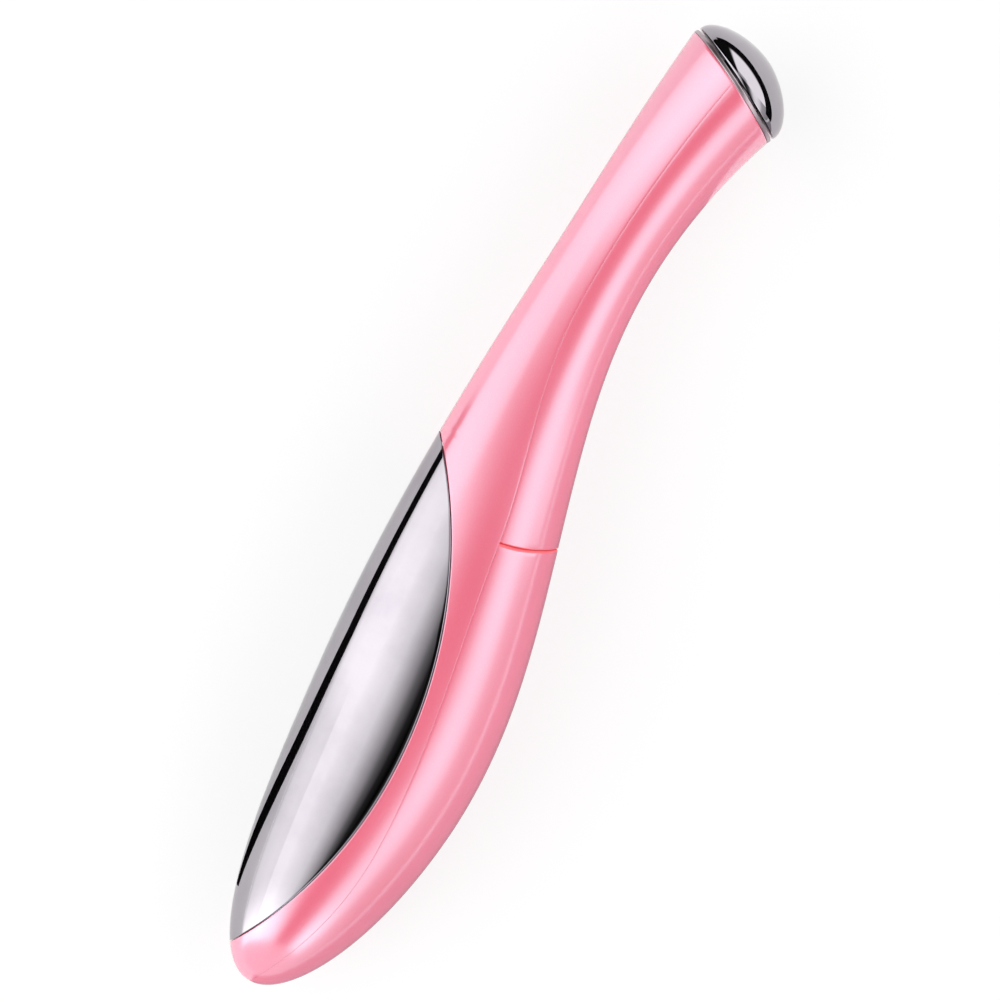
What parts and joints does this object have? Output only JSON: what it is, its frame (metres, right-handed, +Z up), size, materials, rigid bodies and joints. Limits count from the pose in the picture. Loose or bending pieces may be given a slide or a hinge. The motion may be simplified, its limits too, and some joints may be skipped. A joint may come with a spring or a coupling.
{
  "type": "heated eye massager wand",
  "caption": "Slim pearl pink heated eye massager wand with a polished metal massaging head, a lift-off battery cover, a vibration motor and a domed push button on its slanted tail.",
  "frame": {"origin": "middle of the wand's bounding box, on the surface that the wand lies on", "axes": "+X along the wand towards the tip of the metal head, +Y towards the back with the battery cover, +Z up from the side that the wand lies on"},
  "size_m": [0.1502, 0.0292, 0.024],
  "materials": {
    "pearl_pink": "gloss pearl",
    "mirror_chrome": "mirror polish",
    "satin_ring": "satin",
    "seal_rubber": "matt",
    "heater_polyimide": "gloss",
    "sensor_ceramic": "gloss",
    "frame_plastic": "matt",
    "cell_jacket": "gloss",
    "spring_steel": "bright",
    "contact_nickel": "satin",
    "motor_steel": "brushed",
    "endcap_blue": "matt",
    "tungsten": "sintered",
    "board_green": "lacquered",
    "chip_black": "matt",
    "ferrite": "matt",
    "switch_black": "matt",
    "plunger_white": "matt",
    "screw_zinc": "zinc plated",
    "lead_red": "gloss",
    "lead_black": "gloss",
    "lead_blue": "gloss",
    "lead_yellow": "gloss",
    "lead_white": "gloss"
  },
  "bodies": {
    "wand": {"front_housing": "pearl_pink", "rear_housing": "pearl_pink", "heated_head": "mirror_chrome", "head_seal": "seal_rubber", "heater_film": "heater_polyimide", "temperature_sensor": "sensor_ceramic", "chassis": "frame_plastic", "battery_cell": "cell_jacket", "battery_spring": "spring_steel", "spring_plate": "contact_nickel", "positive_contact": "contact_nickel", "motor_can": "motor_steel", "motor_endcap": "endcap_blue", "motor_sleeve": "seal_rubber", "main_board": "board_green", "board_chips": "chip_black", "boost_coil": "ferrite", "switch_board": "board_green", "key_switch": "switch_black", "tail_ring": "satin_ring", "head_screws": "screw_zinc", "case_screw": "screw_zinc", "red_lead": "lead_red", "black_lead": "lead_black", "motor_leads": "lead_blue", "heater_leads": "lead_yellow", "switch_leads": "lead_white"},
    "cover": {"battery_cover": "pearl_pink"},
    "button": {"power_button": "mirror_chrome"},
    "plunger": {"switch_plunger": "plunger_white"},
    "rotor": {"motor_shaft": "motor_steel", "eccentric_weight": "tungsten"}
  },
  "joints": [
    {"name": "button_press", "type": "slide", "parent": "wand", "child": "button", "axis": [0.8829, -0.4695, 0], "range_m": [0, 0.0003], "stiffness_N_per_m": 400, "springref_m": -0.002},
    {"name": "plunger_press", "type": "slide", "parent": "wand", "child": "plunger", "axis": [0.8829, -0.4695, 0], "range_m": [0, 0.0003]},
    {"name": "cover_lift", "type": "slide", "parent": "wand", "child": "cover", "axis": [0, 1, 0], "range_m": [0, 0.03]},
    {"name": "rotor_spin", "type": "hinge", "parent": "wand", "child": "rotor", "pos_m": [0.0139, -0.00839, 0.012], "axis": [1, 0, 0], "continuous": true}
  ],
  "couplings": [
    {"joint": "plunger_press", "follows": "button_press", "ratio": 1}
  ]
}
